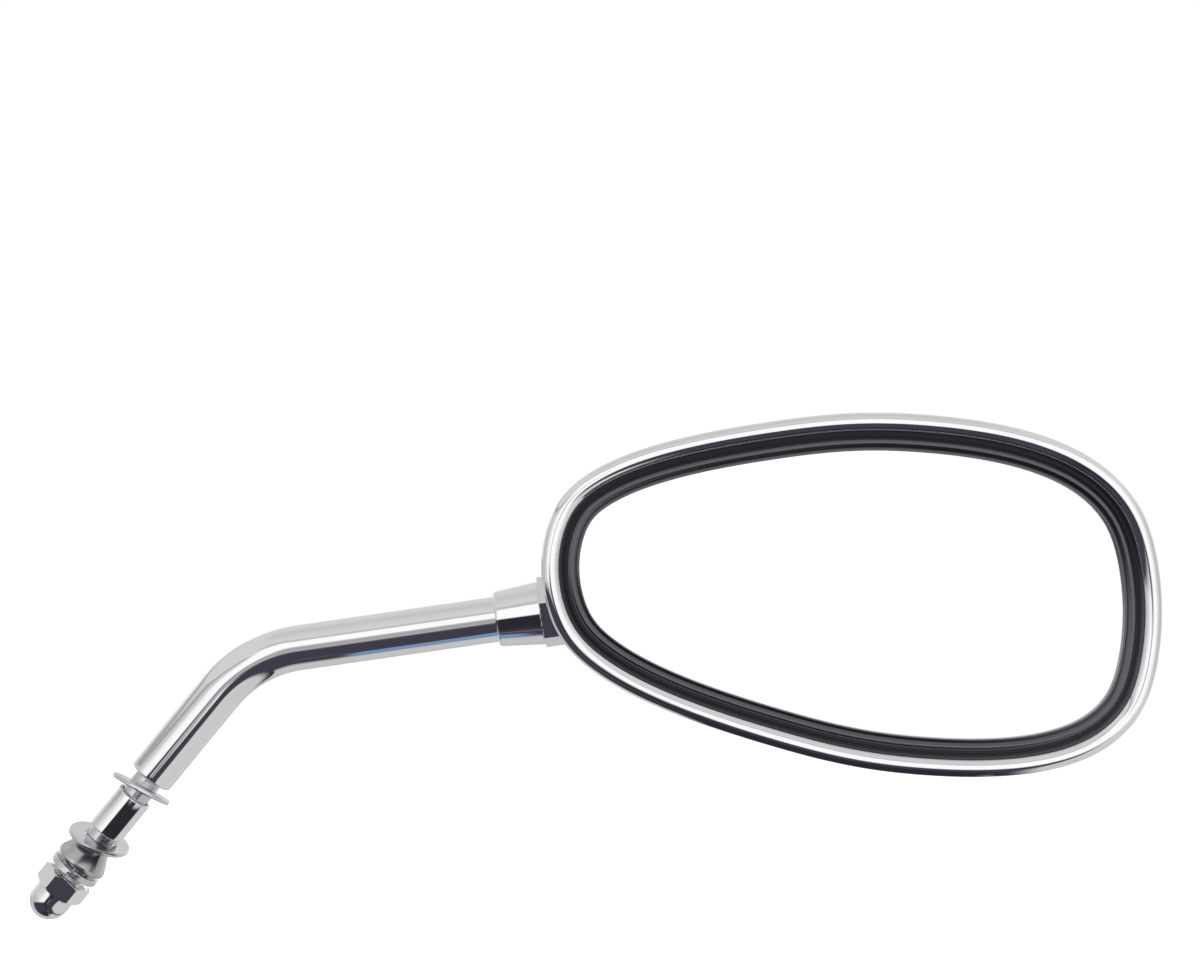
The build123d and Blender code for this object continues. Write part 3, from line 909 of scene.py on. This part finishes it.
def ball_foot(out, radius):
    """Angles from the ball's axis at which the ball meets the dome."""
    low, high = [np.full(len(out), angle) for angle in FOOT_SEARCH]
    for _ in range(HALVINGS):
        foot = (low + high) / 2
        point = ball_row(out, foot, radius)
        above = point[:, 1] > dome_height(point[:, [0, 2]])
        low = np.where(above, foot, low)
        high = np.where(above, high, foot)
    return foot


def lip_section():
    """Section of the lip as (in from the outline, ahead), from the dome round to the shell's inside."""
    roll_end = asin((LIP_WIDTH - LIP_OUTER_ROUND) / LIP_ROLL)
    roll = [(LIP_OUTER_ROUND + LIP_ROLL * sin(t), RIM_AHEAD - LIP_ROLL * (1 - cos(t)), 0)
            for t in np.linspace(0, roll_end, ROLL_ROWS)]
    return rounded([
        (0, RIM_AHEAD - LIP_DEPTH, 0),
        (0, RIM_AHEAD, LIP_OUTER_ROUND),
        *roll,
        (LIP_WIDTH, RIM_AHEAD - LIP_THICKNESS, FINE_EDGE),
        (SHELL_WALL, RIM_AHEAD - LIP_THICKNESS, LIP_CORNER),
        (SHELL_WALL, RIM_AHEAD - LIP_DEPTH, 0),
    ], LIP_ROUND_STEPS)


def make_housing():
    away = in_space(rim - ball_centre[[0, 2]], 0.0)
    out = unit(away - np.outer(away @ ball_up, ball_up))
    radius = BALL_DIA / 2
    foot = ball_foot(out, radius)
    leave = foot - FOOT_ROUND / radius
    rows = [ball_row(out, PASSAGE_ANGLE + (leave - PASSAGE_ANGLE) * share, radius)
            for share in np.linspace(0, 1, BALL_ROWS)]

    leave_row = rows[-1]
    corner_row = ball_row(out, foot, radius)
    flat_foot = corner_row[:, [0, 2]]
    to_rim = rim - flat_foot
    first_share = FOOT_ROUND / np.linalg.norm(to_rim, axis=1)
    landing = on_dome(flat_foot + to_rim * first_share[:, None])
    for share in np.linspace(0, 1, FOOT_ROWS)[1:]:
        rows.append(leave_row * (1 - share) ** 2 + corner_row * 2 * share * (1 - share) + landing * share**2)
    landing_at = len(rows) - 1

    for share in np.linspace(0, 1, DOME_ROWS)[1:-1]:
        packed = 1 - (1 - share) ** DOME_PACKING
        part = first_share + (1 - first_share) * packed
        rows.append(on_dome(flat_foot + to_rim * part[:, None]))
    outer_rows = rows[len(rows) - INNER_START:landing_at:-INNER_STRIDE]

    rows += [rim_ring(inset, ahead) for inset, ahead in lip_section()]
    for row in outer_rows:
        rows.append(in_space(crown + (row[:, [0, 2]] - crown) * INNER_SHRINK, row[:, 1] - SHELL_WALL))
    rows += [ball_row(out, angle, radius - BALL_WALL)
             for angle in np.linspace(INNER_BALL_ANGLE, PASSAGE_ANGLE, INNER_BALL_ROWS)]
    faces = grid_quads(len(rows), HEAD_COLUMNS, True)
    add_piece("chrome_housing", np.concatenate(rows), faces, chrome, "head", ["housing"],
              HOUSING_SHARP, flats=False)


# Gasket: a groove by the lip, a broad ridge, a crease and a narrow edge over the glass

def wave(turns):
    """Corners of a wave with round crests and sharp valleys, through turning points of (inset, ahead)."""
    corners = []
    for (start, first), (end, last) in zip(turns, turns[1:]):
        for share in np.arange(WAVE_STEPS) / WAVE_STEPS:
            ease = sin(pi / 2 * share) if last > first else 1 - cos(pi / 2 * share)
            corners.append((start + (end - start) * share, first + (last - first) * ease, 0))
    return corners + [(*turns[-1], 0)]


def make_gasket():
    outer = LIP_WIDTH + CLEARANCE
    inner = LIP_WIDTH + GASKET_WIDTH
    seat = GLASS_AHEAD + CLEARANCE
    hold = glass_inset - CLEARANCE
    turns = [(LIP_WIDTH + inset, ahead)
             for inset, ahead in (GASKET_GROOVE, GASKET_CREST, GASKET_CREASE, GASKET_EDGE)]
    groove, groove_ahead = turns[0]
    slope = [(outer + (groove - outer) * share, GASKET_START + (groove_ahead - GASKET_START) * share, 0)
             for share in SLOPE_SHARES]
    profile = rounded([
        (outer, glass_back, 0),
        *slope,
        *wave(turns),
        (inner, turns[-1][1], GASKET_EDGE_ROUND),
        (inner, seat, GASKET_SEAT_ROUND),
        (hold, seat, GASKET_SEAT_ROUND),
        (hold, glass_back, GASKET_BACK_ROUND),
        (outer, glass_back, 0),
    ])[:-1]
    rows = [rim_ring(inset, ahead) for inset, ahead in profile]
    faces = grid_quads(len(rows), HEAD_COLUMNS, True)
    add_piece("glass_gasket", np.concatenate(rows), faces, rubber, "head", ["rim_gasket"],
              GASKET_SHARP, flats=False)


def make_glass():
    profile = rounded([
        (glass_inset + GLASS_RING, glass_back, 0),
        (glass_inset, glass_back, GLASS_EDGE),
        (glass_inset, GLASS_AHEAD, GLASS_EDGE),
        (glass_inset + GLASS_RING, GLASS_AHEAD, 0),
    ])
    rows = [rim_ring(inset, ahead) for inset, ahead in profile]
    faces = capped_quads(len(rows), HEAD_COLUMNS)
    add_piece("mirror_plate", np.concatenate(rows), faces, mirror, "head", ["glass"])


make_stem()
make_collar()
make_lock_nut()
make_acorn_nut()
make_stud()
make_washer("washer_by_stem", "upper_washer", UPPER_WASHER_AT, UPPER_WASHER_LEAN, UPPER_WASHER_NOD)
make_washer("washer_by_cone", "lower_washer", lower_washer_at, LOWER_WASHER_LEAN, LOWER_WASHER_NOD)
make_sleeve()
make_cone()
make_lock_washer()
make_knuckle()
make_housing()
make_gasket()
make_glass()

# The pieces inside the ball keep their CAD meshes
inner_materials = {
    "pivot_stud": zinc,
    "pivot_washer": zinc,
    "pivot_nut": zinc,
    "spring": steel,
    "thrust_washer": steel,
    "friction_cup": nylon,
}
for node, material in inner_materials.items():
    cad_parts[node].data.materials.clear()
    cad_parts[node].data.materials.append(material)


# Studio: white for the camera, and for reflections a soft room by direction, bright above the camera's
# height, dim below it and grey at the sides

# Tones of the studio
WHITE = 1.03
BRIGHT = 0.96
PALE = 0.67
GREY = 0.57
SHADE = 0.5
HALF = 0.38
FAINT = 0.15
DIM = (0.05, 0.048, 0.068)
DARK = (0.026, 0.022, 0.03)
# Blue of the glowing strip that paints a blue reflected line along the stem
REFLECTED_BLUE = (0.17, 0.29, 0.5)
# The studio by angle in degrees, upwards from the camera's direction. Its ceiling, with a light strip at the
# back, is alike all along. The walls differ: to the left of the camera, in line with the stem, and from
# straight ahead to the right, where the floor differs too.
FLOOR = [(-180, SHADE), (-115, GREY), (-95, GREY), (-80, DIM)]
CEILING = [(55, PALE), (90, GREY), (118, PALE), (150, PALE), (156, WHITE), (172, WHITE), (180, SHADE)]
ROOM_LEFT = FLOOR + [
    (-65, DIM),
    (-62, FAINT),
    (-58, DIM),
    (-44, DARK),
    (-5, DARK),
    (-1, WHITE),
    (33, WHITE),
    (38, GREY),
    (43, SHADE),
    (50, PALE),
] + CEILING
ROOM_STEM = FLOOR + [
    (-21, DIM),
    (-17, FAINT),
    (-12, SHADE),
    (-7, HALF),
    (0, HALF),
    (6, GREY),
    (10, WHITE),
    (31, WHITE),
    (35, GREY),
    (39, SHADE),
    (44, PALE),
] + CEILING
ROOM_RIGHT = [
    (-180, SHADE),
    (-140, GREY),
    (-126, DIM),
    (-112, DARK),
    (-70, DIM),
    (-21, DIM),
    (-16, WHITE),
    (26, WHITE),
    (33, GREY),
    (50, PALE),
] + CEILING
# Far left, with a dark seam in its wall, and far right, by height from straight down to straight up
ROOM_FAR_LEFT = [
    (0.0, DARK),
    (0.12, DIM),
    (0.4, DIM),
    (0.46, WHITE),
    (0.62, WHITE),
    (0.66, PALE),
    (0.7, GREY),
    (0.712, HALF),
    (0.724, HALF),
    (0.738, PALE),
]
ROOM_FAR_RIGHT = [(0.0, GREY), (0.3, PALE), (0.38, WHITE), (0.7, WHITE), (0.78, PALE)]
# The walls fall to grey towards the sides
SIDE_FALL = [(0.4, WHITE), (0.58, BRIGHT), (0.85, PALE), (0.96, GREY), (1.0, SHADE)]
# Where the parts of the room meet, each over a short way, by how far a direction points to the right
LEFT_EDGE = (-0.16, -0.22)
RIGHT_EDGE = (-0.045, -0.02)
FAR_LEFT_EDGE = (-0.3, -0.42)
FAR_RIGHT_EDGE = (0.33, 0.45)
# The room's parts stand square to the stem's upper run, and low down they lie further right
ROOM_LEAN = sin(UPPER_ANGLE)
ROOM_DROP = 0.235
LOW_EDGE = (radians(-50), radians(-75))
# Below these angles the right-hand wall comes further in
UNDER_EDGE = (radians(-30), radians(-50))
UNDER_REACH = 0.1
# The far left starts above these angles, because below them the floor goes on behind the mirror
FLOOR_EDGE = (radians(-112), radians(-98))


def make_world():
    world = bpy.data.worlds.new("studio")
    bpy.context.scene.world = world
    world.use_nodes = True
    tree = world.node_tree
    place = tree.nodes.new("ShaderNodeTexCoord")
    parts = tree.nodes.new("ShaderNodeSeparateXYZ")
    tree.links.new(place.outputs["Generated"], parts.inputs[0])
    side, depth, height = parts.outputs
    angle = math_node(tree, "ARCTAN2", height, math_node(tree, "MULTIPLY", depth, -1.0))
    turn = math_node(tree, "MULTIPLY_ADD", angle, 1 / (2 * pi), 0.5)
    level = math_node(tree, "MULTIPLY_ADD", height, 0.5, 0.5)
    left, stem, right = [
        colour_ramp(tree, turn, [(degrees / 360 + 0.5, tone) for degrees, tone in stops])
        for stops in (ROOM_LEFT, ROOM_STEM, ROOM_RIGHT)
    ]
    far_left = colour_ramp(tree, level, ROOM_FAR_LEFT)
    far_right = colour_ramp(tree, level, ROOM_FAR_RIGHT)
    low = soft_step(tree, angle, *LOW_EDGE)
    square = math_node(tree, "MULTIPLY_ADD", height, ROOM_LEAN, side)
    drop = math_node(tree, "MULTIPLY_ADD", height, -ROOM_LEAN, -ROOM_DROP)
    along = math_node(tree, "MULTIPLY_ADD", low, drop, square)
    room = blend_colour(tree, soft_step(tree, along, *LEFT_EDGE), stem, left)
    room = blend_colour(tree, soft_step(tree, along, *RIGHT_EDGE), room, right)
    above_floor = soft_step(tree, angle, *FLOOR_EDGE)
    far = math_node(tree, "MULTIPLY", soft_step(tree, along, *FAR_LEFT_EDGE), above_floor)
    room = blend_colour(tree, far, room, far_left)
    under = soft_step(tree, angle, *UNDER_EDGE)
    right_side = math_node(tree, "MULTIPLY_ADD", under, UNDER_REACH, side)
    room = blend_colour(tree, soft_step(tree, right_side, *FAR_RIGHT_EDGE), room, far_right)
    fall = colour_ramp(tree, math_node(tree, "ABSOLUTE", side), SIDE_FALL)
    room = blend_colour(tree, 1.0, room, fall, "DARKEN")
    path = tree.nodes.new("ShaderNodeLightPath")
    seen = blend_colour(tree, path.outputs["Is Camera Ray"], room, (1, 1, 1, 1))
    tree.links.new(seen, tree.nodes["Background"].inputs["Color"])


def add_sheet(name, corners):
    """A flat sheet by its four corners, in metres."""
    mesh = bpy.data.meshes.new(name)
    mesh.from_pydata(corners, [], [(0, 1, 2, 3)])
    return add_object(name, mesh)


# Floor sheet, in metres: how far it lies below the part, its reach, its grey and how much it glows
SHEET_DROP = 0.05
SHEET_LEFT, SHEET_RIGHT = -0.5, 0.8
SHEET_FRONT, SHEET_BACK = -0.03, 0.9
SHEET_GREY = 0.85
SHEET_ROUGHNESS = 0.9
SHEET_GLOW = 0.55


def make_floor():
    """A pale floor behind and below the mirror, white to the camera where nothing shades it."""
    level = cad_box[0].z - SHEET_DROP
    floor = add_sheet("floor", [
        (SHEET_LEFT, SHEET_FRONT, level),
        (SHEET_RIGHT, SHEET_FRONT, level),
        (SHEET_RIGHT, SHEET_BACK, level),
        (SHEET_LEFT, SHEET_BACK, level),
    ])
    material, tree = new_material("pale_floor")
    shader = tree.nodes["Principled BSDF"]
    fill(shader, {
        "Base Color": (SHEET_GREY, SHEET_GREY, SHEET_GREY, 1),
        "Roughness": SHEET_ROUGHNESS,
        "Emission Color": (1, 1, 1, 1),
    })
    path = tree.nodes.new("ShaderNodeLightPath")
    glow = math_node(tree, "MULTIPLY", path.outputs["Is Camera Ray"], SHEET_GLOW)
    tree.links.new(glow, shader.inputs["Emission Strength"])
    floor.data.materials.append(material)
    floor.visible_glossy = False


# Reflection cards, which glow, show only in reflections and paint dark and blue reflections onto the chrome:
# the share, from each edge, over which they fade out; the margins of the card under the head from the
# housing's box; the place of the card beside the sleeve, from the sleeve's middle; and the place of the blue
# strip under the stem, from the corner of its two runs
CARD_FADE = 0.14
HEAD_CARD_BELOW = 60.0
HEAD_CARD_LEFT = 8.0
HEAD_CARD_RIGHT = 20.0
HEAD_CARD_FRONT = 70.0
HEAD_CARD_BACK = 50.0
SLEEVE_CARD_TURN = radians(34)
SLEEVE_CARD_AWAY = 14.0
SLEEVE_CARD_DROP = 3.6
SLEEVE_CARD_LENGTH = 14.0
SLEEVE_CARD_WIDTH = 29.0
STEM_CARD_ALONG = 49.0
STEM_CARD_BELOW = 23.6
STEM_CARD_AHEAD = 10.0
STEM_CARD_LENGTH = 56.0
STEM_CARD_WIDTH = 8.5


def make_reflection_card(name, colour, middle, length, width):
    """A glowing card with soft edges that only reflections show, so it paints a reflection of its colour onto
    the chrome; given in millimetres by its middle and its sides.
    """
    square = [(0, 0), (1, 0), (1, 1), (0, 1)]
    corners = [(middle + length * (x - 0.5) + width * (y - 0.5)) * MM for x, y in square]
    card = add_sheet(name, [tuple(point) for point in corners])
    for loop, spot in zip(card.data.uv_layers.new().data, square):
        loop.uv = spot
    material, tree = new_material(name)
    tree.nodes.remove(tree.nodes["Principled BSDF"])
    glow = tree.nodes.new("ShaderNodeEmission")
    glow.inputs["Color"].default_value = (*colour, 1)
    clear = tree.nodes.new("ShaderNodeBsdfTransparent")
    place = tree.nodes.new("ShaderNodeTexCoord")
    parts = tree.nodes.new("ShaderNodeSeparateXYZ")
    tree.links.new(place.outputs["UV"], parts.inputs[0])
    inside = 1.0
    for axis in ("X", "Y"):
        for edge, full in ((0.0, CARD_FADE), (1.0, 1 - CARD_FADE)):
            inside = math_node(tree, "MULTIPLY", soft_step(tree, parts.outputs[axis], edge, full), inside)
    mix = tree.nodes.new("ShaderNodeMixShader")
    tree.links.new(inside, mix.inputs["Fac"])
    tree.links.new(clear.outputs["BSDF"], mix.inputs[1])
    tree.links.new(glow.outputs["Emission"], mix.inputs[2])
    tree.links.new(mix.outputs["Shader"], tree.nodes["Material Output"].inputs["Surface"])
    card.data.materials.append(material)
    card.visible_camera = False
    card.visible_diffuse = False
    card.visible_shadow = False


def make_reflection_cards():
    """Painted reflections: a dark card under the head, another beside the sleeve, and a glowing blue strip
    under the stem.
    """
    # A dark card below the head paints a dark reflection along the rim's lower edge.
    low, high = [np.array(point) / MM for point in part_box("housing")]
    left, right = low[0] + HEAD_CARD_LEFT, high[0] - HEAD_CARD_RIGHT
    front, back = low[1] - HEAD_CARD_FRONT, high[1] + HEAD_CARD_BACK
    middle = np.array([(left + right) / 2, (front + back) / 2, low[2] - HEAD_CARD_BELOW])
    make_reflection_card("head_dark_reflection_card", DARK, middle, np.array([right - left, 0, 0]), np.array([0, back - front, 0]))

    # A dark card beside the sleeve paints a dark reflection band down the sleeve.
    away = toward_camera * cos(SLEEVE_CARD_TURN) - lower_side * sin(SLEEVE_CARD_TURN)
    middle = stud_way * ((SLEEVE_AT + sleeve_end) / 2 + SLEEVE_CARD_DROP) + away * SLEEVE_CARD_AWAY
    make_reflection_card("sleeve_dark_reflection_card", DARK, middle, stud_way * SLEEVE_CARD_LENGTH,
              np.cross(away, stud_way) * SLEEVE_CARD_WIDTH)

    # A glowing blue strip below the stem paints a blue reflected line along the stem's upper run.
    middle = corner + upper_way * STEM_CARD_ALONG - upper_side * STEM_CARD_BELOW
    middle = middle + toward_camera * STEM_CARD_AHEAD
    make_reflection_card("stem_blue_reflection_card", REFLECTED_BLUE, middle, upper_way * STEM_CARD_LENGTH, toward_camera * STEM_CARD_WIDTH)


# Camera and light, with their places in metres. Untilted, both face straight down.
CAMERA_PLACE = (0.1247, -0.600, 0.0824)
CAMERA_TILT = radians(90)
CAMERA_LENS = 64.85
CAMERA_SENSOR = 36.0
LIGHT_PLACE = (0.12, -0.25, 1.1)
LIGHT_TILT = radians(-12)
LIGHT_SIZE = 0.9
LIGHT_ENERGY = 4.0


def make_camera():
    data = bpy.data.cameras.new("photo_view")
    data.sensor_width = CAMERA_SENSOR
    data.lens = CAMERA_LENS
    camera = add_object("photo_view", data)
    camera.location = CAMERA_PLACE
    camera.rotation_euler = (CAMERA_TILT, 0, 0)
    bpy.context.scene.camera = camera


def make_light():
    data = bpy.data.lights.new("soft_top", "AREA")
    data.size = LIGHT_SIZE
    data.energy = LIGHT_ENERGY
    light = add_object("soft_top", data)
    light.location = LIGHT_PLACE
    light.rotation_euler = (LIGHT_TILT, 0, 0)
    light.visible_camera = False
    light.visible_glossy = False


make_world()
make_floor()
make_reflection_cards()
make_camera()
make_light()
bpy.context.scene.view_settings.view_transform = "Standard"
